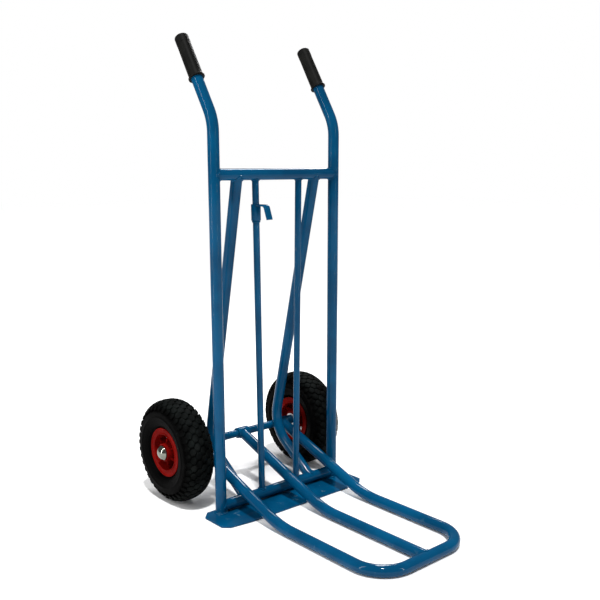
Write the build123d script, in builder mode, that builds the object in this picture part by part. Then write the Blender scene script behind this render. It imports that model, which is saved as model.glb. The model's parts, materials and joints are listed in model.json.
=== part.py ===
# Folding-toe hand truck: a welded steel-tube frame on two pneumatic wheels,
# with a toe frame that turns on the axle and a sliding latch that holds it up.
# Origin: on the floor, midway between the stiles. +Z up, the load side faces -Y,
# +X is the right-hand side seen from the load side. Millimetres.
from math import acos, atan2, cos, hypot, pi, radians, sin, sqrt, tan
import os

from build123d import *

os.makedirs("parts", exist_ok=True)

# --- Driving dimensions ------------------------------------------------------
tube_d = 26.9               # main frame tube
tube_wall = 2.0
rod_d = 16.0                # solid uprights between the stiles
axle_d = 20.0

stile_spacing = 366.7       # centre to centre
handle_bend_z = 930.0       # where the stile turns back towards the user
handle_bend_r = 95.0
handle_angle = 32.0         # degrees from vertical
handle_length = 217.0       # from the bend point to the end of the tube

plate_t = 4.0
plate_overhang = 32.2       # beyond the outside of each stile
plate_front_y = -87.0
plate_back_y = 23.0
plate_side_y = -65.0        # where each side edge ends
plate_back_cut = 20.0       # chamfer across each back corner
plate_nose_inset = 73.0     # from each side edge to the end of the straight front edge
plate_corner = (16.0, 15.0) # cut across each front corner, X and Y
plate_corner_r = 4.0
plate_edge_r = 0.8          # rounding of the top edge
crossbar_gap = 3.0          # between the plate and the bottom crossbar
crossbar_drop = 119.0       # the top crossbar, below the handle's bend

rod_inset = 51.6            # a rod's foot, in from the strut's
rod_lean = 10.2             # how far its top stands out from its foot

strut_lean = 11.0           # how far a strut's top stands out from its foot
strut_clearance = 1.05      # to the toe sleeve beside it
strut_knee_r = 90.0
axle_seat = 1.0             # depth of the notch that the axle sits in
knee_angle = 19.0           # degrees below the horizontal, knee centre to axle

tyre_r = 130.0
tyre_half_width = 42.5
tyre_clearance = 12.05      # between the stiles and the front of the tyres
wheel_offset = 26.65        # the wheel's middle, out from the stile's

leg_clearance = 10.0        # between a toe sleeve and the tyre
toe_slope = 19.8            # degrees below the horizontal
toe_front_y = -495.0
toe_knee_r = 250.0
toe_corner_r = 75.0
sleeve_wall = 3.92
sleeve_length = 35.0

grip_length = 112.0
grip_wall = 3.05
grip_flange_rise = 2.5      # radial
grip_flange_t = 4.0
grip_end_t = 3.0

collar_wall = 3.15
collar_length = 38.0
collar_drop = 106.55        # its lower end, below the top crossbar's centre line
hook_width = 16.0
hook_t = 4.0
hook_clearance = 0.6        # round the toe frame's front bar
hook_drop = 32.0
hook_splay = 20.0           # degrees from the rod's direction
hook_bend_r = 9.0
stop_ring_wall = 2.0
stop_ring_t = 4.0

barrel_r = 50.0             # where the tyre bead sits
rim_flange_rise = 12.0      # radial
rim_half_width = 33.0
rim_flange_t = 4.0
barrel_wall = 4.0
web_t = 6.0
bearing_wall = 5.0
boss_wall = 7.0
boss_proud = 3.0            # beyond the rim's flange
bearing_length = 14.0
boss_relief = 2.0           # radial, between the bearings
rib_count = 6
rib_t = 4.0
rib_height = 18.0
bolt_count = 3
bolt_d = 8.0
bolt_circle_r = 34.0
bolt_head_af = 13.0         # across flats, the nut's too
bolt_head_t = 5.3
nut_t = 6.5
bolt_stub = 2.0             # shank showing past the nut
bead_width = 7.0
bead_height = 14.0
tyre_wall = 7.0
shoulder_inset = 8.5        # in from the tyre's widest place
shoulder_drop = 12.0        # below the crown
inner_tube_inset = 6.5      # in from the tyre's inside
inner_tube_wall = 2.0
valve_d = 8.0
valve_length = 20.0
valve_offset = 13.0         # from the wheel's middle plane

washer_width = 7.0          # radial
washer_t = 2.0
spacer_wall = 3.0
cap_rim = 9.0               # radial, beyond the axle
cap_height = 11.5
cap_t = 1.2
cap_socket_wall = 1.6
cap_socket_depth = 7.0
axle_stub = 6.5             # axle inside the cap

# --- Clearances --------------------------------------------------------------
running_fit = 0.08          # radial, a bore turning on the axle
slide_fit = 0.35            # radial, the latch collar on its rod
body_gap = 0.5              # between pieces that move past each other
bolt_clearance = 0.3        # radial
cope_relief = 1.0           # a coped tube stops this far short of the mating centre line

# --- Derived places ----------------------------------------------------------
tube_r = tube_d / 2
rod_r = rod_d / 2
axle_r = axle_d / 2
stile_x = stile_spacing / 2
axle_y = tube_r + tyre_clearance + tyre_r
axle_z = tyre_r
wheel_x = stile_x + wheel_offset
toe_leg_x = wheel_x - tyre_half_width - leg_clearance - sleeve_length / 2
strut_bottom_x = toe_leg_x - sleeve_length / 2 - strut_clearance - tube_r
strut_top_x = strut_bottom_x + strut_lean
rod_bottom_x = strut_bottom_x - rod_inset
rod_top_x = rod_bottom_x + rod_lean
top_crossbar_z = handle_bend_z - crossbar_drop
bottom_crossbar_z = plate_t + crossbar_gap + tube_r
toe_z = tube_r              # the toe frame's front lies on the floor
sleeve_r = axle_r + running_fit + sleeve_wall
grip_r = tube_r + grip_wall
collar_r = rod_r + slide_fit + collar_wall
collar_bottom = top_crossbar_z - bottom_crossbar_z - collar_drop   # along the rod
hook_reach = collar_r + tube_d + hook_clearance         # to the middle of the hook's bend
sides = (("left", -1), ("right", 1))


def finish(piece, name):
    piece.part.label = name
    export_step(piece.part, f"parts/{name}.step")


def tube_on(points, bend_r, outer_r, wall=0.0):
    """Sweep a round section along straight runs joined by arcs; no wall means solid bar."""
    with BuildLine() as route:
        if len(points) > 2:
            FilletPolyline(*points, radius=bend_r)
        else:
            Line(*points)
    path = route.wire()
    with BuildSketch(Plane(origin=path @ 0, z_dir=path % 0)) as section:
        Circle(outer_r)
        if wall:
            Circle(outer_r - wall, mode=Mode.SUBTRACT)
    sweep(section.sketch, path=path)


def cope_to_bar(y, z, bar_r):
    """Cut the part where a bar lies along X."""
    with Locations((0, y, z)):
        Cylinder(bar_r, 2 * (stile_x + tube_d), rotation=(0, 90, 0), mode=Mode.SUBTRACT)


def short_of(point, towards, distance):
    """The point moved a distance towards another."""
    step = (Vector(*towards) - Vector(*point)).normalized() * distance
    return Vector(*point) + step


# --- Frame -------------------------------------------------------------------
tilt = radians(handle_angle)
for side, s in sides:
    handle_end = (s * stile_x, handle_length * sin(tilt), handle_bend_z + handle_length * cos(tilt))
    with BuildPart() as stile:
        tube_on([(s * stile_x, 0, plate_t), (s * stile_x, 0, handle_bend_z), handle_end],
                handle_bend_r, tube_r, tube_wall)
    finish(stile, f"{side}_stile")

    grip_plane = Plane(origin=handle_end, z_dir=(0, sin(tilt), cos(tilt))).offset(grip_end_t)
    with BuildPart() as grip:
        with BuildSketch(grip_plane):
            Circle(grip_r)
        extrude(amount=-grip_length)
        fillet(grip.faces().sort_by(Axis.Z)[-1].edges(), grip_r / 2)
        with BuildSketch(grip_plane.offset(-grip_length)):
            Circle(grip_r + grip_flange_rise)
        extrude(amount=grip_flange_t)
        with BuildSketch(grip_plane.offset(-grip_length)):
            Circle(tube_r)
        extrude(amount=grip_length - grip_end_t, mode=Mode.SUBTRACT)
    finish(grip, f"{side}_grip")

for name, z in (("top_crossbar", top_crossbar_z), ("bottom_crossbar", bottom_crossbar_z)):
    reach = stile_x - cope_relief
    with BuildPart() as crossbar:
        tube_on([(-reach, 0, z), (reach, 0, z)], 0, tube_r, tube_wall)
        with Locations((-stile_x, 0, z), (stile_x, 0, z)):
            Cylinder(tube_r, 2 * tube_d, mode=Mode.SUBTRACT)
    finish(crossbar, name)


def rod_plane(s):
    """Along a rod, from the bottom crossbar's centre line up."""
    bottom = Vector(s * rod_bottom_x, 0, bottom_crossbar_z)
    return Plane(origin=bottom, x_dir=(0, -1, 0), z_dir=Vector(s * rod_top_x, 0, top_crossbar_z) - bottom)


for side, s in sides:
    with BuildPart() as rod:
        tube_on([(s * rod_bottom_x, 0, bottom_crossbar_z), (s * rod_top_x, 0, top_crossbar_z)], 0, rod_r)
        cope_to_bar(0, bottom_crossbar_z, tube_r)
        cope_to_bar(0, top_crossbar_z, tube_r)
    finish(rod, f"{side}_rod")


def tangent_angle(y, z, centre_y, centre_z, r, turn):
    """Direction of the line from a point that just touches a circle, in the YZ plane."""
    direct = atan2(centre_z - z, centre_y - y)
    return direct + turn * (pi / 2 - acos(r / hypot(centre_y - y, centre_z - z)))


# Each strut's bend curves round a centre in front of the axle, so that its back
# rests on the axle; the two straight runs leave that curve for the crossbars.
knee_reach = strut_knee_r + tube_r + axle_r - axle_seat
knee_y = axle_y - knee_reach * cos(radians(knee_angle))
knee_z = axle_z + knee_reach * sin(radians(knee_angle))
down = tangent_angle(0, top_crossbar_z, knee_y, knee_z, strut_knee_r, 1)
up = tangent_angle(0, bottom_crossbar_z, knee_y, knee_z, strut_knee_r, -1)
run = (top_crossbar_z - bottom_crossbar_z) * cos(down) / sin(up - down)
corner = (run * cos(up), bottom_crossbar_z + run * sin(up))

for side, s in sides:
    top = (s * strut_top_x, 0, top_crossbar_z)
    knee = (s * strut_bottom_x, *corner)
    foot = (s * strut_bottom_x, 0, bottom_crossbar_z)
    with BuildPart() as strut:
        tube_on([short_of(top, knee, cope_relief), knee, short_of(foot, knee, cope_relief)],
                strut_knee_r, tube_r, tube_wall)
        cope_to_bar(0, top_crossbar_z, tube_r)
        cope_to_bar(0, bottom_crossbar_z, tube_r)
        cope_to_bar(axle_y, axle_z, axle_r)
    finish(strut, f"{side}_strut")

plate_x = stile_x + tube_r + plate_overhang
cut_x, cut_y = plate_corner
right_edge = [
    (plate_x - plate_nose_inset, plate_front_y, 0),
    (plate_x - cut_x, plate_side_y - cut_y, 0),
    (plate_x, plate_side_y, 0),
    (plate_x, plate_back_y - plate_back_cut, 0),
    (plate_x - plate_back_cut, plate_back_y, 0),
]
left_edge = [(-x, y, z) for x, y, z in reversed(right_edge)]
with BuildPart() as footplate:
    with BuildSketch():
        with BuildLine():
            FilletPolyline(*right_edge, *left_edge, radius=plate_corner_r, close=True)
        make_face()
    extrude(amount=plate_t)
    fillet(footplate.faces().sort_by(Axis.Z)[-1].edges(), plate_edge_r)
finish(footplate, "footplate")

# --- Axle and what sits on it ------------------------------------------------
boss_half_length = rim_half_width + boss_proud
washer_a = boss_half_length + body_gap                  # from the wheel's middle plane
cap_a = washer_a + washer_t
axle_end_x = wheel_x + cap_a + axle_stub
sleeve_end = sleeve_length / 2 + body_gap


def plane_across(x, z_dir=1):
    """Square to the axle at x, facing +X or -X."""
    return Plane(origin=(x, axle_y, axle_z), x_dir=(0, 0, 1), z_dir=(z_dir, 0, 0))


def ring_on_axle(x, length, outer_r, bore_r, facing=1):
    with BuildSketch(plane_across(x, facing)) as ring:
        Circle(outer_r)
        Circle(bore_r, mode=Mode.SUBTRACT)
    extrude(ring.sketch, amount=length)


with BuildPart() as axle:
    with BuildSketch(plane_across(-axle_end_x)):
        Circle(axle_r)
    extrude(amount=2 * axle_end_x)
    chamfer(axle.edges().filter_by(GeomType.CIRCLE), 1.0)
finish(axle, "axle")

for side, s in sides:
    spacer_start = toe_leg_x + sleeve_end
    with BuildPart() as spacer:
        ring_on_axle(s * spacer_start, wheel_x - cap_a - spacer_start, axle_r + spacer_wall, axle_r, s)
    finish(spacer, f"{side}_spacer")

    for name, a in (("inner", -cap_a), ("outer", washer_a)):
        with BuildPart() as washer:
            ring_on_axle(s * (wheel_x + a), washer_t, axle_r + washer_width, axle_r, s)
        finish(washer, f"{side}_{name}_washer")

    cap_r = axle_r + cap_rim
    dome_r = (cap_r ** 2 + cap_height ** 2) / (2 * cap_height)
    cap_plane = Plane(origin=(s * (wheel_x + cap_a), axle_y, axle_z), x_dir=(s, 0, 0), z_dir=(0, -s, 0))
    with BuildPart() as cap:
        with BuildSketch(cap_plane):
            with Locations((cap_height - dome_r, 0)):
                Circle(dome_r)
                Circle(dome_r - cap_t, mode=Mode.SUBTRACT)
            Rectangle(cap_height, cap_r, align=(Align.MIN, Align.MIN), mode=Mode.INTERSECT)
            with Locations((0, axle_r)):
                Rectangle(cap_socket_depth, cap_socket_wall, align=(Align.MIN, Align.MIN))
        revolve(axis=Axis((0, axle_y, axle_z), (1, 0, 0)))
    finish(cap, f"{side}_axle_cap")

# --- Wheels ------------------------------------------------------------------
flange_a = rim_half_width - rim_flange_t                # the flange's inner face
rim_r = barrel_r + rim_flange_rise
bearing_r = axle_r + bearing_wall
boss_r = bearing_r + boss_wall
shoulder_half_width = tyre_half_width - shoulder_inset
inner_tube_half_width = tyre_half_width - tyre_wall - inner_tube_inset
pocket_r = barrel_r - barrel_wall
bead_a = flange_a - bead_width
bead_r = barrel_r + bead_height
widest_r = (rim_r + tyre_r) / 2
inner_tube_r = (barrel_r + tyre_r - tyre_wall) / 2
inner_tube_half_height = inner_tube_r - barrel_r - tyre_wall / 2
wheel_axis = Axis((0, axle_y, axle_z), (1, 0, 0))
bolt_angle = 180 / rib_count                            # midway between two ribs
valve_angle = radians(bolt_angle + 180 / bolt_count)    # midway between two bolts
valve_side = (valve_offset - valve_d / 2) / inner_tube_half_width
valve_top_r = inner_tube_r - inner_tube_half_height * sqrt(1 - valve_side ** 2) - body_gap


def wheel_plane(s, outboard=1):
    """Through the wheel's centre: x runs along the axle, y up the wheel's radius."""
    return Plane(origin=(s * wheel_x, axle_y, axle_z), x_dir=(s * outboard, 0, 0),
                 z_dir=(0, -s * outboard, 0))


def rim_half(s, outboard):
    """One moulded half of the split rim: flange, barrel, web, hub boss and ribs."""
    with BuildPart() as half:
        with BuildSketch(wheel_plane(s, outboard)):
            with BuildLine():
                Polyline(
                    (0, axle_r + boss_relief), (0, barrel_r), (flange_a, barrel_r),
                    (flange_a, rim_r), (rim_half_width, rim_r), (rim_half_width, pocket_r),
                    (web_t, pocket_r), (web_t, boss_r), (boss_half_length, boss_r),
                    (boss_half_length, bearing_r), (boss_half_length - bearing_length, bearing_r),
                    (boss_half_length - bearing_length, axle_r + boss_relief), close=True)
            make_face()
        revolve(axis=wheel_axis)
        with BuildSketch(plane_across(s * (wheel_x + outboard * web_t), s * outboard)):
            with PolarLocations((boss_r + pocket_r) / 2, rib_count):
                Rectangle(pocket_r - boss_r + barrel_wall / 2, rib_t)
        extrude(amount=rib_height)
        with BuildSketch(plane_across(s * wheel_x, s * outboard)):
            with PolarLocations(bolt_circle_r, bolt_count, start_angle=outboard * bolt_angle):
                Circle(bolt_d / 2 + bolt_clearance)
        extrude(amount=web_t, mode=Mode.SUBTRACT)
    return half


def valve_plane(s, r):
    """Across the valve at a radius, facing outwards."""
    out = Vector(0, -s * sin(valve_angle), cos(valve_angle))
    foot = Vector(s * (wheel_x + valve_offset), axle_y, axle_z) + out * r
    return Plane(origin=foot, x_dir=(1, 0, 0), z_dir=out)


for side, s in sides:
    with BuildPart() as tyre:
        with BuildSketch(wheel_plane(s)):
            with BuildLine():
                Polyline((bead_a, bead_r), (bead_a, barrel_r), (flange_a, barrel_r), (flange_a, rim_r + body_gap))
                ThreePointArc((flange_a, rim_r + body_gap), (tyre_half_width, widest_r),
                              (shoulder_half_width, tyre_r - shoulder_drop))
                ThreePointArc((shoulder_half_width, tyre_r - shoulder_drop), (0, tyre_r),
                              (-shoulder_half_width, tyre_r - shoulder_drop))
                ThreePointArc((-shoulder_half_width, tyre_r - shoulder_drop), (-tyre_half_width, widest_r),
                              (-flange_a, rim_r + body_gap))
                Polyline((-flange_a, rim_r + body_gap), (-flange_a, barrel_r), (-bead_a, barrel_r), (-bead_a, bead_r))
                inner_shoulder = (shoulder_half_width - tyre_wall, tyre_r - shoulder_drop - tyre_wall)
                ThreePointArc((-bead_a, bead_r), (tyre_wall - tyre_half_width, widest_r),
                              (-inner_shoulder[0], inner_shoulder[1]))
                ThreePointArc((-inner_shoulder[0], inner_shoulder[1]), (0, tyre_r - tyre_wall), inner_shoulder)
                ThreePointArc(inner_shoulder, (tyre_half_width - tyre_wall, widest_r), (bead_a, bead_r))
            make_face()
        revolve(axis=wheel_axis)
    finish(tyre, f"{side}_tyre")

    with BuildPart() as inner_tube:
        with BuildSketch(wheel_plane(s)):
            with Locations((0, inner_tube_r)):
                Ellipse(inner_tube_half_width, inner_tube_half_height)
                Ellipse(inner_tube_half_width - inner_tube_wall, inner_tube_half_height - inner_tube_wall,
                        mode=Mode.SUBTRACT)
        revolve(axis=wheel_axis)
    finish(inner_tube, f"{side}_inner_tube")

    with BuildPart() as rim_outer:
        add(rim_half(s, 1).part)
        with BuildSketch(valve_plane(s, pocket_r - barrel_wall)):
            Circle(valve_d / 2 + bolt_clearance)
        extrude(amount=3 * barrel_wall, mode=Mode.SUBTRACT)
    finish(rim_outer, f"{side}_rim_outer")
    finish(rim_half(s, -1), f"{side}_rim_inner")

    with BuildPart() as valve:
        with BuildSketch(valve_plane(s, valve_top_r)):
            Circle(valve_d / 2)
        extrude(amount=-valve_length)
    finish(valve, f"{side}_valve")

    with BuildPart() as bearings:
        for a in (boss_half_length - bearing_length, -boss_half_length):
            ring_on_axle(s * (wheel_x + a), bearing_length, bearing_r, axle_r + running_fit, s)
    finish(bearings, f"{side}_wheel_bearings")

    head_r = bolt_head_af / sqrt(3)
    with BuildPart() as bolts:
        with BuildSketch(plane_across(s * (wheel_x + web_t), s)):
            with PolarLocations(bolt_circle_r, bolt_count, start_angle=bolt_angle):
                RegularPolygon(head_r, 6)
        extrude(amount=bolt_head_t)
        with BuildSketch(plane_across(s * (wheel_x + web_t), s)):
            with PolarLocations(bolt_circle_r, bolt_count, start_angle=bolt_angle):
                Circle(bolt_d / 2)
        extrude(amount=-(2 * web_t + nut_t + bolt_stub))
    finish(bolts, f"{side}_rim_bolts")

    with BuildPart() as nuts:
        with BuildSketch(plane_across(s * (wheel_x - web_t), -s)):
            with PolarLocations(bolt_circle_r, bolt_count, start_angle=-bolt_angle):
                RegularPolygon(head_r, 6)
                Circle(bolt_d / 2, mode=Mode.SUBTRACT)
        extrude(amount=nut_t)
    finish(nuts, f"{side}_rim_nuts")

# --- Toe frame, turning on the axle ------------------------------------------
slope = radians(toe_slope)
toe_knee_y = axle_y - (axle_z - toe_z) / tan(slope)
toe_start = short_of((0, axle_y, axle_z), (0, toe_knee_y, toe_z), sleeve_r / 5)
half_loop = [(toe_leg_x, toe_start.Y, toe_start.Z), (toe_leg_x, toe_knee_y, toe_z), (toe_leg_x, toe_front_y, toe_z)]
other_half = [(-x, y, z) for x, y, z in reversed(half_loop)]

with BuildPart() as toe_loop:
    tube_on(half_loop + other_half, (toe_knee_r, toe_corner_r, toe_corner_r, toe_knee_r), tube_r, tube_wall)
    cope_to_bar(axle_y, axle_z, sleeve_r)
finish(toe_loop, "toe_loop")

with BuildPart() as toe_middle_tube:
    tube_on([toe_start, (0, toe_knee_y, toe_z), (0, toe_front_y + cope_relief, toe_z)], toe_knee_r,
            tube_r, tube_wall)
    cope_to_bar(axle_y, axle_z, sleeve_r)
    cope_to_bar(toe_front_y, toe_z, tube_r)
finish(toe_middle_tube, "toe_middle_tube")

for name, x in (("left", -toe_leg_x), ("middle", 0), ("right", toe_leg_x)):
    with BuildPart() as sleeve:
        ring_on_axle(x - sleeve_length / 2, sleeve_length, sleeve_r, axle_r + running_fit)
    finish(sleeve, f"{name}_toe_sleeve")

# --- Latch, sliding on the left rod ------------------------------------------
latch_rod = rod_plane(-1)
hook_angle = radians(hook_splay)
hook_top = collar_bottom + collar_length - hook_t / 2

with BuildPart() as stop_ring:
    with BuildSketch(latch_rod.offset(collar_bottom - body_gap)):
        Circle(rod_r + stop_ring_wall)
        Circle(rod_r, mode=Mode.SUBTRACT)
    extrude(amount=-stop_ring_t)
finish(stop_ring, "latch_stop_ring")

with BuildPart() as collar:
    with BuildSketch(latch_rod.offset(collar_bottom)):
        Circle(collar_r)
        Circle(rod_r + slide_fit, mode=Mode.SUBTRACT)
    extrude(amount=collar_length)
finish(collar, "latch_collar")

hook_side = Plane(origin=latch_rod.origin, x_dir=(0, -1, 0), z_dir=latch_rod.x_dir.cross(latch_rod.z_dir))
with BuildPart() as hook:
    with BuildSketch(hook_side):
        with BuildLine():
            FilletPolyline((rod_r, hook_top), (hook_reach, hook_top),
                           (hook_reach + hook_drop * tan(hook_angle), hook_top - hook_drop), radius=hook_bend_r)
        trace(line_width=hook_t)
    extrude(amount=hook_width / 2, both=True)
    with BuildSketch(latch_rod.offset(collar_bottom)):
        Circle(collar_r)
    extrude(amount=2 * collar_length, mode=Mode.SUBTRACT)
finish(hook, "latch_hook")
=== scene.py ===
import json
from math import asin, atan2, cos, hypot, pi, radians, sin

import bpy
from mathutils import Matrix, Vector

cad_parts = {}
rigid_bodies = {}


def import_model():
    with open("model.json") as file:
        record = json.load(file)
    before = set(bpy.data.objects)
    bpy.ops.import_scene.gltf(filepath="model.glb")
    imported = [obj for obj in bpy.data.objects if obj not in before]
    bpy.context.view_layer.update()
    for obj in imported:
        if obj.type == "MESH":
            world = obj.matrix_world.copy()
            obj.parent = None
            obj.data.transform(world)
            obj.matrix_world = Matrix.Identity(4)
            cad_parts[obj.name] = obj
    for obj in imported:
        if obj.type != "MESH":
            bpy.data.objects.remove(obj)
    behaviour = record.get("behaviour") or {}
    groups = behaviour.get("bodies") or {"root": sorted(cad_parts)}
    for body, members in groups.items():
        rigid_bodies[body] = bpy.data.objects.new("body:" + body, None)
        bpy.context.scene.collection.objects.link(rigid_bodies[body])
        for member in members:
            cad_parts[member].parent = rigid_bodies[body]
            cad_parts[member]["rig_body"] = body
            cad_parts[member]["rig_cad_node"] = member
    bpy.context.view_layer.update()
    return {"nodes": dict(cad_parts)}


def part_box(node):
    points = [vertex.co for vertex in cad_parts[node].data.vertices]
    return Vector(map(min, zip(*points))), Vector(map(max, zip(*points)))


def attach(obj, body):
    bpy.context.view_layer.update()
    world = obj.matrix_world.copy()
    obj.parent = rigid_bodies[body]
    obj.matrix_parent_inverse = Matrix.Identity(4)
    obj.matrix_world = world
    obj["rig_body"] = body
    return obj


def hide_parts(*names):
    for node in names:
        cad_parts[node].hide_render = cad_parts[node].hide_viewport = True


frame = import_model()
nodes = frame["nodes"]
bpy.ops.object.select_all(action="DESELECT")
sides = (("left", -1), ("right", 1))  # each side's name and which way it lies along X
mm = 0.001
tubeR = 13.45 * mm  # the main tubes of the frame
closeness = 0.02 * mm  # points nearer than this are one point


class Socket:
    # an output socket of a material, so that shader maths reads as plain expressions
    def __init__(self, paint, out):
        self.paint, self.out = paint, out

    def maths(self, operation, *values):
        return self.paint.node("ShaderNodeMath", dict(operation=operation), dict(enumerate(values)))

    def __add__(self, other):
        return self.maths("ADD", self, other)

    def __rsub__(self, other):
        return self.maths("SUBTRACT", other, self)

    def __mul__(self, other):
        return self.maths("MULTIPLY", self, other)

    __radd__, __rmul__ = __add__, __mul__

    def ramp(self, low, high):
        # 0 below low, 1 above high, smooth between
        return self.paint.node("ShaderNodeMapRange", dict(interpolation_type="SMOOTHSTEP"),
                               {"Value": self, "From Min": low, "From Max": high})


class Paint:
    # one material and its nodes
    def __init__(self, name, **constants):
        self.material = bpy.data.materials.new(name)
        self.material.use_nodes = True
        self.tree = self.material.node_tree
        self.shader = self.tree.nodes["Principled BSDF"]
        for socket, value in constants.items():
            self.shader.inputs[socket.replace("_", " ")].default_value = value

    def node(self, kind, settings=None, sockets=None, output=0):
        made = self.tree.nodes.new(kind)
        for name, value in (settings or {}).items():
            setattr(made, name, value)
        for name, value in (sockets or {}).items():
            if isinstance(value, Socket):
                self.tree.links.new(value.out, made.inputs[name])
            else:
                made.inputs[name].default_value = value
        return Socket(self, made.outputs[output])

    def place(self, centre=(0, 0, 0), stretch=(1, 1, 1)):
        # where a point is on the object, measured from a centre
        here = self.node("ShaderNodeTexCoord", output="Object")
        moved = self.node("ShaderNodeVectorMath", dict(operation="SUBTRACT"), {0: here, 1: centre})
        return self.node("ShaderNodeMapping", {}, {"Vector": moved, "Scale": stretch})

    def noise(self, where, scale, detail=3.0, roughness=0.5):
        return self.node("ShaderNodeTexNoise", {}, {"Vector": where, "Scale": scale, "Detail": detail,
                                                    "Roughness": roughness})

    def mix(self, factor, first, second):
        return self.node("ShaderNodeMix", dict(data_type="RGBA"), {0: factor, 6: first, 7: second}, 2)

    def bump(self, height, strength, distance):
        sockets = {"Height": height, "Strength": strength, "Distance": distance}
        return self.node("ShaderNodeBump", {}, sockets)

    def feed(self, **sockets):
        for name, value in sockets.items():
            self.tree.links.new(value.out, self.shader.inputs[name.replace("_", " ")])


plasticIOR = 1.5

# the frame's gloss enamel: soft clouds of tone, orange peel, hair scratches, and chips near the floor
blueEnamel = dict(deep=(0.0003, 0.042, 0.104, 1), bright=(0.0005, 0.066, 0.156, 1),
                  scuff=(0.08, 0.15, 0.20, 1), shine=0.03, coat=0.20, coatRoughness=0.03,
                  roughness=0.06, cloudSize=9, grainSize=420, peel=0.10, peelSize=260,
                  peelDeep=1.2 * mm, scratchSize=130, scratches=0.10,
                  chipSize=60, chips=0.45, chipsLow=4 * mm, chipsTop=30 * mm, patchSize=14)


def makeBlueEnamel(name, settings):
    paint = Paint(name, IOR=plasticIOR, Specular_IOR_Level=settings["shine"],
                  Coat_Roughness=settings["coatRoughness"], Coat_IOR=plasticIOR)
    here = paint.place()
    cloud = paint.noise(here, settings["cloudSize"], 3)
    grain = paint.noise(here, settings["grainSize"], 2)
    height = paint.node("ShaderNodeSeparateXYZ", {}, {0: here}, "Z")
    drawn = paint.place(stretch=(1, 1, 6))
    scratches = paint.noise(drawn, settings["scratchSize"], 5, 0.7).ramp(0.63, 0.72)
    nearFloor = 1 - height.ramp(settings["chipsLow"], settings["chipsTop"])
    chips = paint.noise(here, settings["chipSize"], 4, 0.6).ramp(0.60, 0.66) * nearFloor
    patches = paint.noise(here, settings["patchSize"], 2).ramp(0.40, 0.62)
    scuffs = (scratches * settings["scratches"] + chips * settings["chips"]) * patches
    base = paint.mix(cloud.ramp(0.35, 0.65) * 0.8 + grain * 0.2, settings["deep"], settings["bright"])
    peel = paint.noise(here, settings["peelSize"], 2)
    paint.feed(Base_Color=paint.mix(scuffs, base, settings["scuff"]),
               Roughness=cloud * 0.06 + scuffs * 0.5 + settings["roughness"],
               Coat_Weight=settings["coat"] - scuffs * settings["coat"],
               Normal=paint.bump(peel, settings["peel"], settings["peelDeep"]))
    return paint.material


# tyre rubber: black walls, and a tread that is greyer towards its crown, partly wear and partly a painted
# highlight on the block tops, and holds some dust
treadRubber = dict(black=(0.0010, 0.0010, 0.0010, 1), wornSheen=(0.0085, 0.0105, 0.0100, 1),
                   dust=(0.014, 0.014, 0.013, 1), shine=0.012, roughness=0.44,
                   wornSheenDeep=22 * mm, wornSheenTop=2 * mm, dustDeep=60 * mm, dusty=0.35,
                   grainSize=900, patchSize=28, dustSize=70, grainDeep=0.6 * mm)


def makeTyreRubber(name, settings, wheelCentre, treadRadius):
    paint = Paint(name, IOR=plasticIOR, Specular_IOR_Level=settings["shine"])
    here = paint.place(centre=wheelCentre)
    flat = paint.node("ShaderNodeVectorMath", dict(operation="MULTIPLY"), {0: here, 1: (0, 1, 1)})
    radius = paint.node("ShaderNodeVectorMath", dict(operation="LENGTH"), {0: flat}, "Value")
    grain = paint.noise(here, settings["grainSize"], 3, 0.6)
    patches = paint.noise(here, settings["patchSize"], 4, 0.6)
    # the crown is greyer: partly wear, partly painted highlight that stands in for the sheen on the block
    # tops
    wornSheen = radius.ramp(treadRadius - settings["wornSheenDeep"], treadRadius - settings["wornSheenTop"])
    wornSheen = wornSheen * patches.ramp(0.25, 0.75)
    dust = paint.noise(here, settings["dustSize"], 4, 0.65).ramp(0.5, 0.75)
    dust = dust * radius.ramp(treadRadius - settings["dustDeep"], treadRadius) * settings["dusty"]
    base = paint.mix(wornSheen, settings["black"], settings["wornSheen"])
    paint.feed(Base_Color=paint.mix(dust, base, settings["dust"]),
               Roughness=wornSheen * 0.16 + grain * 0.12 + settings["roughness"],
               Normal=paint.bump(grain + patches * 0.6, 0.28, settings["grainDeep"]))
    return paint.material


# the grips' soft rubber, which the inner tubes and valves take too, a little duller
gripRubber = dict(dark=(0.0035, 0.0035, 0.0033, 1), light=(0.009, 0.009, 0.008, 1),
                  shine=0.05, roughness=0.40, grainSize=1100, grain=0.08, grainDeep=0.3 * mm, cloudSize=35)
tubeRoughness = 0.53


def makeRubber(name, settings):
    paint = Paint(name, IOR=plasticIOR, Specular_IOR_Level=settings["shine"])
    here = paint.place()
    grain = paint.noise(here, settings["grainSize"], 3, 0.6)
    cloud = paint.noise(here, settings["cloudSize"], 3)
    paint.feed(Base_Color=paint.mix(cloud.ramp(0.3, 0.75), settings["dark"], settings["light"]),
               Roughness=cloud * 0.14 + grain * 0.10 + settings["roughness"],
               Normal=paint.bump(grain, settings["grain"], settings["grainDeep"]))
    return paint.material


# the rims' moulded plastic, with faint flow lines
redPlastic = dict(deep=(0.095, 0.0014, 0.0010, 1), bright=(0.195, 0.0036, 0.0020, 1),
                  shine=0.01, roughness=0.26, cloudSize=24, flowSize=75, grainSize=850,
                  grain=0.20, grainDeep=0.4 * mm)


def makeRedPlastic(name, settings):
    paint = Paint(name, IOR=plasticIOR, Specular_IOR_Level=settings["shine"])
    here = paint.place()
    cloud = paint.noise(here, settings["cloudSize"], 3)
    flow = paint.noise(paint.place(stretch=(3, 1, 1)), settings["flowSize"], 4, 0.6)
    grain = paint.noise(here, settings["grainSize"], 2)
    tone = cloud.ramp(0.3, 0.7) * 0.7 + flow * 0.3
    paint.feed(Base_Color=paint.mix(tone, settings["deep"], settings["bright"]),
               Roughness=cloud * 0.12 + grain * 0.12 + settings["roughness"],
               Normal=paint.bump(grain + flow * 0.8, settings["grain"], settings["grainDeep"]))
    return paint.material
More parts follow.
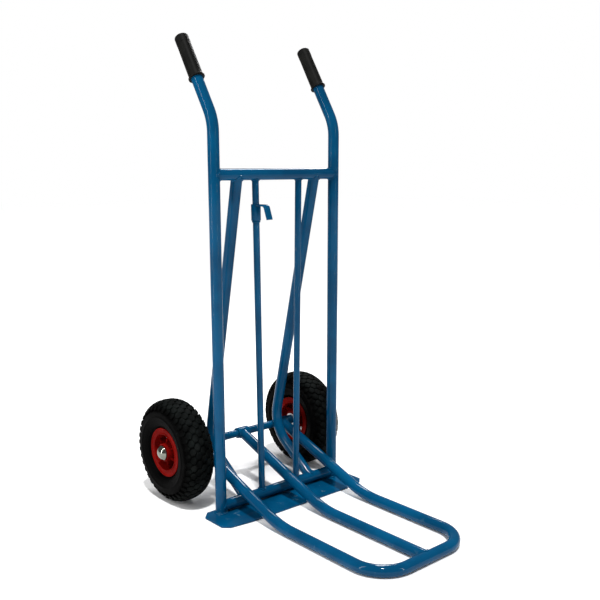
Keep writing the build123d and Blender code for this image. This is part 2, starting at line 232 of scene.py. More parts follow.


# the axle caps' plating, far darker than bright chrome: painted shade, so that it reflects as if in a dim
# room; with finger smudges
capPlating = dict(shadedClean=(0.21, 0.22, 0.19, 1), shadedSmudged=(0.16, 0.16, 0.14, 1), smudgeSize=60, smudge=0.25,
                  roughness=0.05, waveSize=210, wave=0.03, waveDeep=0.6 * mm)


def makeChrome(name, settings):
    paint = Paint(name, Metallic=1.0)
    here = paint.place()
    smudge = paint.noise(here, settings["smudgeSize"], 4, 0.6)
    # both tones are painted shade, darker than chrome is, and the smudged one is darker again where smudges
    # lie
    tint = paint.mix(smudge.ramp(0.55, 0.8) * settings["smudge"], settings["shadedClean"], settings["shadedSmudged"])
    wave = paint.noise(here, settings["waveSize"], 2)
    paint.feed(Base_Color=tint,
               Roughness=smudge.ramp(0.45, 0.85) * 0.14 + settings["roughness"],
               Normal=paint.bump(wave, settings["wave"], settings["waveDeep"]))
    return paint.material


# zinc on the bolts, nuts, washers and bearings
zincPlating = dict(light=(0.56, 0.57, 0.58, 1), dark=(0.38, 0.39, 0.41, 1), metal=0.95, spangleSize=190,
                   brushSize=260, brush=0.18, brushDeep=0.3 * mm, roughness=0.20)


def makeZinc(name, settings):
    paint = Paint(name, Metallic=settings["metal"])
    here = paint.place()
    spangle = paint.noise(here, settings["spangleSize"], 4, 0.65)
    brushed = paint.noise(paint.place(stretch=(12, 1, 1)), settings["brushSize"], 3)
    paint.feed(Base_Color=paint.mix(spangle.ramp(0.3, 0.7), settings["dark"], settings["light"]),
               Roughness=spangle * 0.22 + brushed * 0.14 + settings["roughness"],
               Normal=paint.bump(brushed, settings["brush"], settings["brushDeep"]))
    return paint.material


# radii and places along the axle from the wheel's middle, shared by the tyre and the rim
wheel = dict(tread=130 * mm, halfWidth=42.5 * mm, rim=62 * mm, flange=33 * mm, flangeInner=29 * mm,
             barrel=50 * mm, pocket=46 * mm, web=6 * mm, boss=22 * mm, bossEnd=36 * mm, bore=12.2 * mm)
wheelCentres = {}
for side, s in sides:
    low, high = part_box(f"{side}_tyre")
    wheelCentres[side] = (low + high) / 2
axleY, axleZ = wheelCentres["left"].y, wheelCentres["left"].z

blue = makeBlueEnamel("blueEnamel", blueEnamel)
gripBlack = makeRubber("gripBlack", gripRubber)
tubeBlack = makeRubber("innerTubeBlack", dict(gripRubber, roughness=tubeRoughness))
tyreBlack = makeTyreRubber("tyreBlack", treadRubber, (0, axleY, axleZ), wheel["tread"])
red = makeRedPlastic("redMoulding", redPlastic)
chrome = makeChrome("capChrome", capPlating)
zinc = makeZinc("zincPlate", zincPlating)
finishes = dict(blue_paint=blue, grip_rubber=gripBlack, tyre_rubber=tyreBlack, inner_tube_rubber=tubeBlack,
                red_rim=red, cap_chrome=chrome, zinc_steel=zinc)

finishEndings = dict(tyre_rubber="_tyre", grip_rubber="_grip", inner_tube_rubber=("_inner_tube", "_valve"),
                     red_rim=("_rim_outer", "_rim_inner"), cap_chrome="_axle_cap",
                     zinc_steel=("_washer", "_bolts", "_nuts", "_bearings"))
nodeFinish = {}
for name in nodes:
    nodeFinish[name] = "blue_paint"
    for finish, endings in finishEndings.items():
        if name.endswith(endings):
            nodeFinish[name] = finish
for name, node in nodes.items():
    node.data.materials.clear()
    node.data.materials.append(finishes[nodeFinish[name]])
print("materials made")


def newest(name):
    piece = bpy.context.active_object
    piece.name = piece.data.name = name
    return piece


def pick(*pieces):
    # only these pieces are selected, and the first is the active one
    bpy.ops.object.select_all(action="DESELECT")
    for piece in pieces:
        piece.select_set(True)
    bpy.context.view_layer.objects.active = pieces[0]


def settle(piece):
    # the piece's place goes into its mesh, and its object to the origin
    pick(piece)
    bpy.ops.object.transform_apply(location=True, rotation=True, scale=True)


def joined(name, pieces):
    pick(*pieces)
    bpy.ops.object.join()
    return newest(name)


def tidyMesh(piece, merge=0.5 * closeness):
    pick(piece)
    bpy.ops.object.mode_set(mode="EDIT")
    bpy.ops.mesh.select_all(action="SELECT")
    bpy.ops.mesh.remove_doubles(threshold=merge)
    bpy.ops.mesh.normals_make_consistent(inside=False)
    bpy.ops.object.mode_set(mode="OBJECT")


def smoothed(piece, angle):
    pick(piece)
    bpy.ops.object.shade_smooth_by_angle(angle=radians(angle))


def chosenFaces(piece, wanted):
    # in edit mode, with only the wanted faces selected
    bpy.ops.object.mode_set(mode="EDIT")
    bpy.ops.mesh.select_all(action="DESELECT")
    bpy.ops.object.mode_set(mode="OBJECT")
    for face in piece.data.polygons:
        face.select = wanted(face)
    bpy.ops.object.mode_set(mode="EDIT")


def bevelled(piece, width, segments=2, limit=40):
    bevel = piece.modifiers.new("edges", "BEVEL")
    bevel.width, bevel.segments, bevel.angle_limit = width, segments, radians(limit)
    bpy.context.view_layer.objects.active = piece
    bpy.ops.object.modifier_apply(modifier=bevel.name)


def copyOf(piece, matrix, name="copy"):
    twin = piece.copy()
    twin.data = piece.data.copy()
    twin.data.transform(matrix)
    if matrix.determinant() < 0:
        twin.data.flip_normals()
    bpy.context.scene.collection.objects.link(twin)
    twin.name = name
    return twin


def hand(piece, finish, body, *replaced):
    # a finished piece gets its material, its body and the CAD nodes that it stands for
    piece.data.materials.clear()
    piece.data.materials.append(finishes[finish])
    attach(piece, body)
    if replaced:
        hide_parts(*replaced)


def spun(name, profile, steps, closed=False, rounding=0.0, segments=3):
    # a section of (along the axis, radius) points, spun round X at the origin
    bpy.ops.object.select_all(action="DESELECT")
    bpy.ops.mesh.primitive_plane_add(size=1 * mm, location=(0, 0, 0))
    piece = newest(name)
    bpy.ops.object.mode_set(mode="EDIT")
    bpy.ops.mesh.select_all(action="SELECT")
    bpy.ops.mesh.merge(type="CENTER")
    bpy.ops.transform.translate(value=(profile[0][0], 0, profile[0][1]))
    for (a, r), (nextA, nextR) in zip(profile, profile[1:]):
        step = (nextA - a, 0, nextR - r)
        bpy.ops.mesh.extrude_vertices_move(TRANSFORM_OT_translate={"value": step})
    bpy.ops.mesh.select_all(action="SELECT")
    if closed:
        bpy.ops.object.mode_set(mode="OBJECT")
        for vertex in piece.data.vertices:
            vertex.select = vertex.index in (0, len(piece.data.vertices) - 1)
        bpy.ops.object.mode_set(mode="EDIT")
        bpy.ops.mesh.edge_face_add()
        bpy.ops.mesh.select_all(action="SELECT")
    if rounding:
        bpy.ops.mesh.bevel(offset=rounding, segments=segments, affect="VERTICES", clamp_overlap=True)
        bpy.ops.mesh.select_all(action="SELECT")
    bpy.ops.mesh.spin(steps=steps, angle=2 * pi, center=(0, 0, 0), axis=(1, 0, 0), use_auto_merge=True)
    bpy.ops.object.mode_set(mode="OBJECT")
    tidyMesh(piece)
    return piece


def onWheel(side, s):
    # from a piece made round X at the origin, outboard along +X, to its place on the axle
    return Matrix.Translation(wheelCentres[side]) @ Matrix.Diagonal((s, 1, 1, 1))


# how far the edges of the plate and of the small steel pieces are rounded
edgeWidths = dict(footplate=0.9 * mm, latch_hook=0.8 * mm, latch_collar=0.7 * mm, latch_stop_ring=0.5 * mm,
                  left_toe_sleeve=0.6 * mm, middle_toe_sleeve=0.6 * mm, right_toe_sleeve=0.6 * mm)
for side, s in sides:
    edgeWidths.update({f"{side}_spacer": 0.5 * mm, f"{side}_inner_washer": 0.4 * mm,
                       f"{side}_outer_washer": 0.4 * mm, f"{side}_rim_bolts": 0.5 * mm,
                       f"{side}_rim_nuts": 0.5 * mm})
flatAngle = 0.3  # degrees between faces that are one flat face


def broken(nodeName, width):
    # the node's shape with its sharp edges rounded over
    piece = copyOf(nodes[nodeName], Matrix.Identity(4), nodeName.title().replace("_", ""))
    piece.parent = None
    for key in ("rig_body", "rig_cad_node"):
        del piece[key]
    tidyMesh(piece, closeness)
    bpy.ops.object.mode_set(mode="EDIT")
    bpy.ops.mesh.select_all(action="SELECT")
    bpy.ops.mesh.dissolve_limited(angle_limit=radians(flatAngle))
    bpy.ops.object.mode_set(mode="OBJECT")
    bevelled(piece, width)
    smoothed(piece, 40)
    return piece


nodeBody = {name: node.parent.name.split(":")[1] for name, node in nodes.items()}
for nodeName, width in edgeWidths.items():
    piece = broken(nodeName, width)
    hand(piece, nodeFinish[nodeName], nodeBody[nodeName], nodeName)
print("edges rounded")


# the tyre is a full, flattened section spun round the axle, with rows of tread blocks wrapped onto it
tyre = dict(sectionR=93 * mm, crownRise=37 * mm, sidewallDrop=38 * mm, fullness=2.4, groove=4.2 * mm,
            blocksRound=38, columnPitch=13.8 * mm, columns=7, blockWide=16.6 * mm, blockLong=17.2 * mm,
            blockDeep=6 * mm, blockRound=0.9 * mm, blockDish=0.2, shoulderLong=0.66,
            wall=7 * mm, treadReach=49.5 * mm, gutter=5 * mm, ringR=90 * mm, ringProud=1.3 * mm,
            ringWide=3.6 * mm, beadLineR=69 * mm, beadGap=0.3 * mm, beadStep=0.3 * mm, heelWide=7 * mm,
            innerReach=0.92, outerSteps=56, innerSteps=20, steps=180)


def sectionPoint(angle):
    # the tyre's outer section: angle 90 is the crown, 0 the widest place
    half = 2 / tyre["fullness"]
    c, n = cos(angle), sin(angle)
    rise = tyre["crownRise"] if n > 0 else tyre["sidewallDrop"]
    along = wheel["halfWidth"] * abs(c) ** half * (1 if c > 0 else -1)
    return along, tyre["sectionR"] + rise * abs(n) ** half * (1 if n > 0 else -1)


def walkSection(samples=1200, start=-54):
    # points down one side from the crown, each with its distance along the section
    walk, travelled = [], 0.0
    last = sectionPoint(radians(90))
    for i in range(samples + 1):
        point = sectionPoint(radians(90 + (start - 90) * i / samples))
        travelled += hypot(point[0] - last[0], point[1] - last[1])
        walk.append((travelled, point))
        last = point
    return walk


sectionWalk = walkSection()


def atDistance(u):
    # point and outward direction at a distance across the tread, either side of the crown
    side, far = (1 if u >= 0 else -1), abs(u)
    last = len(sectionWalk) - 1
    index = next((i for i, step in enumerate(sectionWalk) if step[0] >= far), last)
    index = min(max(index, 1), last - 1)
    (u0, p0), (u1, p1) = sectionWalk[index - 1], sectionWalk[index + 1]
    share = (far - u0) / (u1 - u0)
    a, r = p0[0] + (p1[0] - p0[0]) * share, p0[1] + (p1[1] - p0[1]) * share
    length = hypot(p1[0] - p0[0], p1[1] - p0[1])
    return side * a, r, side * -(p1[1] - p0[1]) / length, (p1[0] - p0[0]) / length


def carcassHeight(u, r):
    # how far the carcass stands off the section: grooves under the blocks, a gutter, raised rings
    far = abs(u)
    if far < tyre["treadReach"]:
        return -tyre["groove"]
    if far < tyre["treadReach"] + tyre["gutter"]:
        return -tyre["groove"] * (1 - (far - tyre["treadReach"]) / tyre["gutter"])
    ring = max(0.0, 1 - abs(r - tyre["ringR"]) / tyre["ringWide"])
    line = max(0.0, 1 - abs(r - tyre["beadLineR"]) / (0.5 * tyre["ringWide"]))
    return tyre["ringProud"] * ring ** 0.6 + 0.5 * tyre["ringProud"] * line ** 0.6


def makeCarcass():
    # the tyre without its blocks: outside, bead heels that sit in the rim, and inside
    total = sectionWalk[-1][0]
    outer = []
    for i in range(-tyre["outerSteps"], tyre["outerSteps"] + 1):
        u = total * i / tyre["outerSteps"]
        a, r, outA, outR = atDistance(u)
        off = carcassHeight(u, r)
        outer.append((a + outA * off, r + outR * off))
    inner = []
    for i in range(-tyre["innerSteps"], tyre["innerSteps"] + 1):
        a, r, outA, outR = atDistance(total * tyre["innerReach"] * i / tyre["innerSteps"])
        inner.append((a - outA * tyre["wall"], r - outR * tyre["wall"]))
    foot = wheel["flangeInner"] - tyre["beadGap"]
    seat = wheel["barrel"] + tyre["beadGap"]
    heel = [(foot, wheel["rim"] + 2 * tyre["beadStep"]), (foot, seat), (foot - tyre["heelWide"], seat)]
    profile = outer + heel + inner[::-1] + [(-a, r) for a, r in reversed(heel)]
    return spun("tyreCarcass", profile, tyre["steps"], closed=True)


def makeBlock():
    # one tread block, flat: x across the tread, y round it, z outwards, its top at 0
    bpy.ops.object.select_all(action="DESELECT")
    bpy.ops.mesh.primitive_cylinder_add(vertices=6, radius=0.5, depth=1, rotation=(0, 0, radians(30)))
    block = newest("treadBlock")
    block.scale = (tyre["blockWide"], tyre["blockLong"] / 0.866, tyre["blockDeep"])  # a hexagon's flats
    block.location = (0, 0, -tyre["blockDeep"] / 2)
    settle(block)
    chosenFaces(block, lambda face: face.normal.z > 0.9)
    bpy.ops.mesh.bevel(offset=tyre["blockRound"], segments=2, affect="EDGES")
    chosenFaces(block, lambda face: face.normal.z > 0.999)
    bpy.ops.mesh.inset(thickness=tyre["blockDish"] * tyre["blockWide"])
    bpy.ops.mesh.poke()
    bpy.ops.object.mode_set(mode="OBJECT")
    return block


def wrapBlocks(block):
    # the flat blocks of one pitch are bent onto the tyre's section, then repeated round it
    pitch = 2 * pi / tyre["blocksRound"]
    half = tyre["columns"] // 2
    row = []
    for column in range(-half, half + 1):
        turned = 0.5 * pitch * (column % 2)
        twin = copyOf(block, Matrix.Identity(4))
        shorter = tyre["shoulderLong"] if abs(column) == half else 1.0
        for vertex in twin.data.vertices:
            x, y, z = vertex.co
            a, r, outA, outR = atDistance(column * tyre["columnPitch"] + x)
            r += outR * z
            angle = turned + y * shorter / wheel["tread"]
            vertex.co = (a + outA * z, r * sin(angle), r * cos(angle))
        row.append(twin)
    bpy.data.objects.remove(block)
    strip = joined("treadRow", row)
    ring = [strip]
    for i in range(1, tyre["blocksRound"]):
        ring.append(copyOf(strip, Matrix.Rotation(pitch * i, 4, "X")))
    tread = joined("tread", ring)
    tidyMesh(tread)
    return tread


carcass = makeCarcass()
tread = wrapBlocks(makeBlock())
tyreMaster = joined("tyreMaster", [carcass, tread])
smoothed(tyreMaster, 30)
for side, s in sides:
    piece = copyOf(tyreMaster, onWheel(side, s), f"{side}TreadedTyre")
    hand(piece, "tyre_rubber", f"{side}_wheel", f"{side}_tyre")
bpy.data.objects.remove(tyreMaster)
print("tyres made")


# a rim half: a flange with a stepped face, and a deep pocket with ribs from the boss to the barrel
rim = dict(edgeWide=3 * mm, lipStep=1.2 * mm, pocketEdge=1.8 * mm, draft=1.5 * mm, seatR=15.2 * mm,
           seatDeep=14.2 * mm, rounding=0.5 * mm, steps=96, ribs=6, ribThick=4.4 * mm, ribTall=18 * mm,
           ribRound=1.2 * mm, ribSunk=1 * mm, ribOverlap=3 * mm, ribTaper=0.72,
           ribRise=4 * mm, ribFall=3 * mm)


def makeRib():
    # its outer edge is narrower, and slopes from the boss down to the barrel
    w = wheel
    middle = (w["pocket"] + w["boss"]) / 2
    centre = w["web"] + rim["ribTall"] / 2 - rim["ribSunk"]
    reach = w["pocket"] - w["boss"] + rim["ribOverlap"]
    bpy.ops.object.select_all(action="DESELECT")
    bpy.ops.mesh.primitive_cube_add(size=1, location=(centre, 0, middle))
    rib = newest("rib")
    rib.scale = (rim["ribTall"] + 2 * rim["ribSunk"], rim["ribThick"], reach)
    settle(rib)
    for vertex in rib.data.vertices:
        if vertex.co.x > w["web"]:
            vertex.co.y *= rim["ribTaper"]
            vertex.co.x += rim["ribRise"] if vertex.co.z < middle else -rim["ribFall"]
    chosenFaces(rib, lambda face: face.normal.x > 0.9)
    bpy.ops.mesh.bevel(offset=rim["ribRound"], segments=3, affect="EDGES")
    bpy.ops.object.mode_set(mode="OBJECT")
    return rib


def makeRimHalf():
    w = wheel
    dished = w["flange"] - rim["lipStep"]
    seat = w["bossEnd"] - rim["seatDeep"]
    profile = [(0.0, w["bore"]), (0.0, w["barrel"]), (w["flangeInner"], w["barrel"]),
               (w["flangeInner"], w["rim"]), (w["flange"], w["rim"]),
               (w["flange"], w["rim"] - rim["edgeWide"]),
               (dished, w["rim"] - rim["edgeWide"] - rim["lipStep"]),
               (dished, w["pocket"] + rim["pocketEdge"] + rim["lipStep"]),
               (w["flange"], w["pocket"] + rim["pocketEdge"]), (w["flange"], w["pocket"]),
               (w["web"], w["pocket"] - rim["draft"]), (w["web"], w["boss"] + rim["draft"]),
               (w["bossEnd"], w["boss"]), (w["bossEnd"], rim["seatR"]),
               (seat, rim["seatR"]), (seat, w["bore"])]
    shell = spun("rimShell", profile, rim["steps"], closed=True, rounding=rim["rounding"], segments=2)
    rib = makeRib()
    turns = [2 * pi * i / rim["ribs"] for i in range(1, rim["ribs"])]
    ribs = [copyOf(rib, Matrix.Rotation(turn, 4, "X")) for turn in turns]
    half = joined("rimHalf", [shell, rib] + ribs)
    tidyMesh(half)
    smoothed(half, 30)
    return half


rimMaster = makeRimHalf()
for side, s in sides:
    outer = copyOf(rimMaster, onWheel(side, s), f"{side}RimFace")
    hand(outer, "red_rim", f"{side}_wheel", f"{side}_rim_outer")
    inner = copyOf(rimMaster, onWheel(side, -s), f"{side}RimBack")
    hand(inner, "red_rim", f"{side}_wheel", f"{side}_rim_inner")
bpy.data.objects.remove(rimMaster)
print("rims made")


# a rubber valve stem with a knurled dust cap
valveStem = dict(cap=3.1 * mm, stem=2.5 * mm, root=4 * mm, capLong=7 * mm, capRound=0.8 * mm, neck=1.4 * mm,
                 shoulder=3 * mm, shoulderEnd=5 * mm, long=20 * mm, knurl=0.07, steps=24)


def makeValve():
    # along +X from the cap's end to the root in the inner tube
    v = valveStem
    profile = [(0, 0), (0, v["cap"] - v["capRound"]), (v["capRound"], v["cap"]), (v["capLong"], v["cap"]),
               (v["capLong"] + 0.2 * mm, v["stem"]), (v["capLong"] + v["neck"], v["stem"]),
               (v["capLong"] + v["shoulder"], v["root"] - 0.4 * mm),
               (v["capLong"] + v["shoulderEnd"], v["root"]), (v["long"], v["root"]), (v["long"], 0)]
    stem = spun("valveStem", profile, v["steps"])
    for vertex in stem.data.vertices:
        far = hypot(vertex.co.y, vertex.co.z)
        if 0.5 * mm < vertex.co.x < v["capLong"] + 0.1 * mm and far > v["stem"]:
            knurl = 1 - v["knurl"] * (round(atan2(vertex.co.z, vertex.co.y) * v["steps"] / (2 * pi)) % 2)
            vertex.co.y *= knurl
            vertex.co.z *= knurl
    smoothed(stem, 30)
    return stem


valveMaster = makeValve()
for side, s in sides:
    low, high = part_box(f"{side}_valve")
    outwards = 1 if (low.y + high.y) / 2 > axleY else -1
    start = Vector(((low.x + high.x) / 2, low.y if outwards > 0 else high.y, (low.z + high.z) / 2))
    turn = Matrix.Rotation(outwards * pi / 2, 4, "Z")
    piece = copyOf(valveMaster, Matrix.Translation(start) @ turn, f"{side}ValveStem")
    hand(piece, "inner_tube_rubber", f"{side}_wheel", f"{side}_valve")
bpy.data.objects.remove(valveMaster)
print("valves made")


# a thin pressed dome with a small rolled lip, pushed onto the axle's end
cap = dict(start=38.5 * mm, radius=19 * mm, height=11.5 * mm, lip=1.6 * mm, lipDraft=0.25 * mm,
           roll=0.8 * mm, gap=0.15 * mm, rollIn=0.3 * mm, lipWide=1.3 * mm, thick=1.2 * mm,
           steps=72, arcSteps=16)


def makeCap():
    domeR = (cap["radius"] ** 2 + cap["height"] ** 2) / (2 * cap["height"])
    reach = asin(cap["radius"] / domeR)
    middle = cap["start"] + cap["height"] - domeR
    under = domeR - cap["thick"]
    angles = [reach * i / cap["arcSteps"] for i in range(1, cap["arcSteps"] - 1)]
    outside = [(middle + domeR * cos(angle), domeR * sin(angle)) for angle in angles]
    inside = [(middle + under * cos(angle), under * sin(angle)) for angle in reversed(angles)]
    lip = [(cap["start"] + cap["lip"], cap["radius"] - cap["lipDraft"]),
           (cap["start"] + cap["roll"], cap["radius"]),
           (cap["start"] + cap["gap"], cap["radius"] - cap["rollIn"]),
           (cap["start"] + cap["gap"], cap["radius"] - cap["lipWide"])]
    profile = [(cap["start"] + cap["height"], 0)] + outside + lip + inside + [(middle + under, 0)]
    dome = spun("cap", profile, cap["steps"])
    smoothed(dome, 40)
    return dome


capMaster = makeCap()
for side, s in sides:
    piece = copyOf(capMaster, onWheel(side, s), f"{side}DomeCap")
    hand(piece, "cap_chrome", "frame", f"{side}_axle_cap")
bpy.data.objects.remove(capMaster)
print("caps made")


# a closed rubber sleeve with a flange at its foot and a faint raised band near its end
grip = dict(length=112 * mm, radius=16.5 * mm, flange=19 * mm, flangeThick=4 * mm, flangeRound=1 * mm,
            fillet=0.6 * mm, filletLong=2.5 * mm, waist=0.1 * mm, end=3 * mm, fit=0.05 * mm, taper=0.5 * mm,
            taperSteps=9, bandStart=20 * mm, bandStep=0.4 * mm, bandLong=8 * mm, bandRise=0.35 * mm,
            endRise=0.3 * mm, endRound=4.5 * mm, endFlatR=4 * mm, taperShort=32 * mm, steps=72, angle=32)


def makeGrip():
    # along +X from the flange's face to the closed end
    g = grip
    tip = g["length"]
    thick, flange, soft = g["flangeThick"], g["flange"], g["flangeRound"]
    profile = [(thick * 0.15, tubeR), (0.0, tubeR + soft), (0.0, flange - soft), (soft, flange),
               (thick - soft, flange), (thick, flange - soft),
               (thick + 0.5 * g["fillet"], g["radius"] + g["fillet"]),
               (thick + g["filletLong"], g["radius"] - g["waist"])]
    for i in range(1, g["taperSteps"]):
        share = i / g["taperSteps"]
        profile.append((thick + g["filletLong"] + share * (tip - g["taperShort"]),
                        g["radius"] - g["taper"] * share))
    band, r = tip - g["bandStart"], g["radius"] - g["taper"]
    profile += [(band, r), (band + g["bandStep"], r + g["bandRise"]),
                (band + g["bandLong"], r + g["endRise"])]
    for i in range(0, 9):
        angle = radians(90 * i / 8)
        profile.append((tip - g["endRound"] * (1 - sin(angle)),
                        r + g["endRise"] - g["endRound"] * (1 - cos(angle))))
    seat = tip - g["end"] + 4 * g["fit"]
    profile += [(tip, g["endFlatR"]), (tip, 0.0), (seat, 0.0), (seat, tubeR - g["fit"])]
    sleeve = spun("grip", profile, g["steps"], closed=True)
    smoothed(sleeve, 40)
    return sleeve


gripMaster = makeGrip()
for side, s in sides:
    low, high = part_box(f"{side}_grip")
    tilt = radians(grip["angle"])
    along = Vector((0, sin(tilt), cos(tilt)))
    # the handle's end is in from its box's corner by the tube's radius
    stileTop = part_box(f"{side}_stile")[1]
    handleEnd = Vector(((low.x + high.x) / 2, stileTop.y - tubeR * cos(tilt),
                        stileTop.z - tubeR * sin(tilt)))
    foot = handleEnd + along * (grip["end"] - grip["length"])
    turn = Vector((1, 0, 0)).rotation_difference(along).to_matrix().to_4x4()
    piece = copyOf(gripMaster, Matrix.Translation(foot) @ turn, f"{side}GripSleeve")
    hand(piece, "grip_rubber", "frame", f"{side}_grip")
bpy.data.objects.remove(gripMaster)
print("grips made")


# a rippled bead wherever two tubes meet
weld = dict(leg=2.6 * mm, ripple=0.16, wander=0.06, pitch=2.3 * mm, around=96, section=8, floor=0.3 * mm)


def weldBead(name, body, centre, along, radius, seat, across=None, size=1.0, flatten=1.0):
    # a bead round a tube of that radius, where it meets a bar of radius seat lying along across,
    # or a flat face when there is no bar; centre is on the bar's centre line, or on the face
    bpy.ops.object.select_all(action="DESELECT")
    bpy.ops.mesh.primitive_torus_add(major_radius=radius, minor_radius=weld["leg"] * size,
                                     major_segments=weld["around"], minor_segments=weld["section"])
    bead = newest(name)
    ripples = round(2 * pi * radius / weld["pitch"])
    turn = Vector((0, 0, 1)).rotation_difference(Vector(along).normalized()).to_matrix()
    acrossHere = turn.inverted() @ Vector(across) if across else Vector((1, 0, 0))
    bar = Vector((acrossHere.x, acrossHere.y, 0)).normalized()
    lean = acrossHere.z / hypot(acrossHere.x, acrossHere.y)  # of the bar, seen along the tube
    for vertex in bead.data.vertices:
        flat = Vector((vertex.co.x, vertex.co.y, 0))
        out = flat.normalized()
        angle = atan2(out.y, out.x)
        swell = 1 + weld["ripple"] * sin(angle * ripples) + weld["wander"] * sin(angle * 5 + radius * 900)
        ringPoint = out * (radius + (flat.length - radius) * swell)
        rise = vertex.co.z * swell
        if across:
            rimPoint = out * radius
            sideways = min(rimPoint.cross(bar).length, seat)
            rise += (seat ** 2 - sideways ** 2) ** 0.5 * (1 + lean ** 2) ** 0.5 + rimPoint.dot(bar) * lean
        ringPoint -= bar * ringPoint.dot(bar) * (1 - flatten)
        vertex.co = Vector((ringPoint.x, ringPoint.y, rise))
    bead.data.transform(Matrix.Translation(Vector(centre)) @ turn.to_4x4())
    for vertex in bead.data.vertices:
        vertex.co.z = max(vertex.co.z, weld["floor"])
    tidyMesh(bead, closeness)
    smoothed(bead, 60)
    hand(bead, "blue_paint", body)
    return bead


def middleOf(nodeName, axis):
    low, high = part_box(nodeName)
    return (low[axis] + high[axis]) / 2


def upward(angle, lean=0.0):
    # which way a tube runs that goes back at an angle above the level
    return lean, cos(radians(angle)), sin(radians(angle))


stileX = middleOf("right_stile", 0)
barTop = middleOf("top_crossbar", 2)
barLow = middleOf("bottom_crossbar", 2)
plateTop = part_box("footplate")[1].z
alongX, alongZ = (1, 0, 0), (0, 0, 1)
# where the welded tubes end, from the middle of the frame, and how they run there, in degrees
rod = dict(radius=8 * mm, topX=66.6 * mm, lowX=56.4 * mm)
strut = dict(topX=119 * mm, lowX=108 * mm, foot=35.7, top=-77.63, lean=0.0157)
axleSeat = dict(angle=161, radius=8.5 * mm, axleR=10 * mm)
toe = dict(slope=-160.2, legX=140 * mm, sleeveR=14 * mm)

for side, s in sides:
    for label, z in (("Top", barTop), ("Low", barLow)):
        weldBead(f"{side}{label}BarWeld", "frame", (s * stileX, 0, z), (-s, 0, 0),
                 tubeR, tubeR, alongZ, 0.9)
    rodRun = Vector((s * (rod["topX"] - rod["lowX"]), 0, barTop - barLow)).normalized()
    weldBead(f"{side}RodFootWeld", "frame", (s * rod["lowX"], 0, barLow), rodRun,
             rod["radius"], tubeR, alongX, 0.95)
    weldBead(f"{side}RodTopWeld", "frame", (s * rod["topX"], 0, barTop), -rodRun,
             rod["radius"], tubeR, alongX, 0.9)
    weldBead(f"{side}StileFootWeld", "frame", (s * stileX, 0, plateTop), alongZ, tubeR, 0, None, 1.25)
    weldBead(f"{side}StrutLowWeld", "frame", (s * strut["lowX"], 0, barLow), upward(strut["foot"]),
             tubeR, tubeR, alongX, 0.9)
    weldBead(f"{side}StrutTopWeld", "frame", (s * strut["topX"], 0, barTop),
             upward(strut["top"], -s * strut["lean"]), tubeR, tubeR, alongX, 0.9)
    weldBead(f"{side}AxleSeatWeld", "frame", (s * strut["lowX"], axleY, axleZ), upward(axleSeat["angle"]),
             axleSeat["radius"], axleSeat["axleR"], alongX)
for label, x in (("left", -toe["legX"]), ("middle", 0), ("right", toe["legX"])):
    weldBead(f"{label}SleeveWeld", "toe_frame", (x, axleY, axleZ), upward(toe["slope"]),
             tubeR, toe["sleeveR"], alongX, 0.9)
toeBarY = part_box("toe_loop")[0].y + tubeR
weldBead("toeTeeWeld", "toe_frame", (0, toeBarY, tubeR), (0, 1, 0), tubeR, tubeR, alongX, 0.8)

# the straight seam behind the bottom crossbar, along the plate
seamRun = dict(radius=2.9 * mm, back=9.2 * mm, rise=1.7 * mm, cuts=140)
halfLong = stileX - tubeR
bpy.ops.object.select_all(action="DESELECT")
bpy.ops.mesh.primitive_cylinder_add(vertices=12, radius=seamRun["radius"], depth=2 * halfLong,
                                    rotation=(0, pi / 2, 0),
                                    location=(0, seamRun["back"], plateTop + seamRun["rise"]))
seam = newest("barSeamWeld")
settle(seam)
bpy.ops.object.mode_set(mode="EDIT")
for cut in range(1, seamRun["cuts"]):
    bpy.ops.mesh.select_all(action="SELECT")
    bpy.ops.mesh.bisect(plane_co=((2 * cut / seamRun["cuts"] - 1) * halfLong, 0, 0), plane_no=(1, 0, 0))
bpy.ops.object.mode_set(mode="OBJECT")
for vertex in seam.data.vertices:
    swell = 1 + weld["ripple"] * cos(vertex.co.x * pi / weld["pitch"])
    vertex.co.y = seamRun["back"] + (vertex.co.y - seamRun["back"]) * swell
tidyMesh(seam, closeness)
smoothed(seam, 60)
hand(seam, "blue_paint", "frame")

# the hook's small flattened bead, near the top of the collar, which leans with its rod
hookSeat = dict(drop=2.2 * mm, radius=8.2 * mm, collarR=11.5 * mm, lean=0.0129, size=0.55, flatten=0.30)
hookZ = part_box("latch_collar")[1].z - hookSeat["drop"]
hookX = rod["lowX"] + (rod["topX"] - rod["lowX"]) * (hookZ - barLow) / (barTop - barLow)
weldBead("hookWeld", "latch", (-hookX, 0, hookZ), (0, -1, 0), hookSeat["radius"], hookSeat["collarR"],
         (hookSeat["lean"], 0, 1), hookSeat["size"], hookSeat["flatten"])
print("welds made")


# a pale floor, a soft sun, and tall narrow boxes whose reflections run down the tubes
studio = dict(floor=(0.96, 0.96, 0.96, 1), floorWorn=(0.945, 0.945, 0.945, 1), floorRoughness=0.8,
              floorWide=30, floorDrop=0.5 * mm, seen=1.0, around=0.22,
              sun=3.0, sunSoft=5, sunFrom=(-0.5, -0.7, 2.4))


def aimed(name, lamp, away):
    # the lamp's holder, with the lamp shining away from that direction
    holder = bpy.data.objects.new(name, lamp)
    bpy.context.scene.collection.objects.link(holder)
    holder.rotation_euler = (-away).to_track_quat("-Z", "Y").to_euler()
    return holder


def softbox(name, place, aim, wide, tall, power):
    lamp = bpy.data.lights.new(name, "AREA")
    lamp.shape = "RECTANGLE"
    lamp.size, lamp.size_y, lamp.energy = wide, tall, power
    aimed(name, lamp, Vector(place) - Vector(aim)).location = place


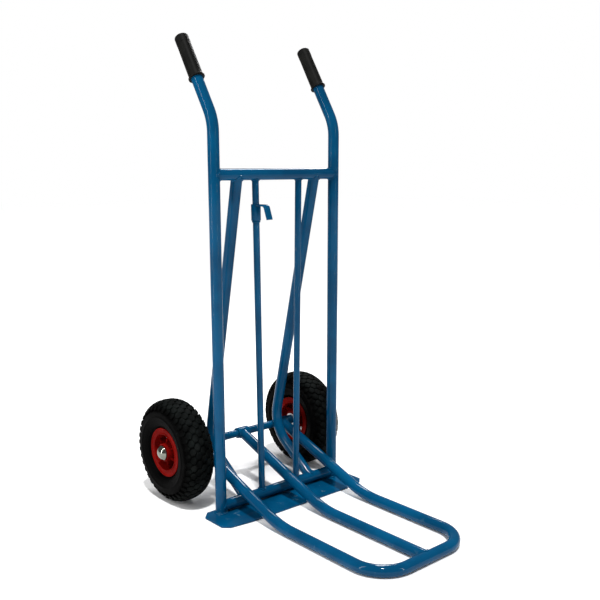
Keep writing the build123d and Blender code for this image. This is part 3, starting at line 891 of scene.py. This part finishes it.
bpy.ops.object.select_all(action="DESELECT")
bpy.ops.mesh.primitive_plane_add(size=studio["floorWide"], location=(0, 0, -studio["floorDrop"]))
floor = newest("studioFloor")
floorPaint = Paint("paleFloor", Roughness=studio["floorRoughness"])
floorTone = floorPaint.noise(floorPaint.place(), 3, 2)
floorPaint.feed(Base_Color=floorPaint.mix(floorTone, studio["floor"], studio["floorWorn"]))
floor.data.materials.append(floorPaint.material)

sky = bpy.data.worlds.new("studioSky")
sky.use_nodes = True
# the backdrop is pale, and the room round it is dimmer, so that the enamel keeps its depth
ray = sky.node_tree.nodes.new("ShaderNodeLightPath")
level = sky.node_tree.nodes.new("ShaderNodeMapRange")
level.inputs["To Min"].default_value = studio["around"]
level.inputs["To Max"].default_value = studio["seen"]
sky.node_tree.links.new(ray.outputs["Is Camera Ray"], level.inputs["Value"])
sky.node_tree.links.new(level.outputs["Result"], sky.node_tree.nodes["Background"].inputs["Strength"])
sky.node_tree.nodes["Background"].inputs["Color"].default_value = (1, 1, 1, 1)
bpy.context.scene.world = sky
bpy.context.scene.view_settings.view_transform = "Standard"

sun = bpy.data.lights.new("softSun", "SUN")
sun.energy, sun.angle = studio["sun"], radians(studio["sunSoft"])
aimed("softSun", sun, Vector(studio["sunFrom"]))
softbox("keyStrip", place=(-2.9, 0.3, 1.0), aim=(0, 0, 1.0), wide=0.13, tall=3.0, power=40)
softbox("sideBox", place=(-2.2, 0.2, 2.5), aim=(0, 0.2, 0.9), wide=0.25, tall=1.0, power=12)
softbox("fillStrip", place=(0.6, -3.0, 0.9), aim=(0, 0, 0.9), wide=0.05, tall=3.0, power=18)
softbox("topBox", place=(1.5, 1.0, 2.4), aim=(0, -0.1, 0.5), wide=0.30, tall=1.4, power=44)

lens = dict(place=(-1.2669, -1.5310, 0.8330), turn=-41.377, tilt=11.811, focal=49.16, sensor=36,
            shiftX=-0.005, shiftY=0.06)
camera = bpy.data.cameras.new("studioCamera")
camera.lens, camera.sensor_width = lens["focal"], lens["sensor"]
camera.shift_x, camera.shift_y = lens["shiftX"], lens["shiftY"]
cameraHolder = bpy.data.objects.new("studioCamera", camera)
bpy.context.scene.collection.objects.link(cameraHolder)
cameraHolder.location = lens["place"]
cameraHolder.rotation_euler = (radians(90 - lens["tilt"]), 0, radians(lens["turn"]))
bpy.context.scene.camera = cameraHolder
print("studio made")
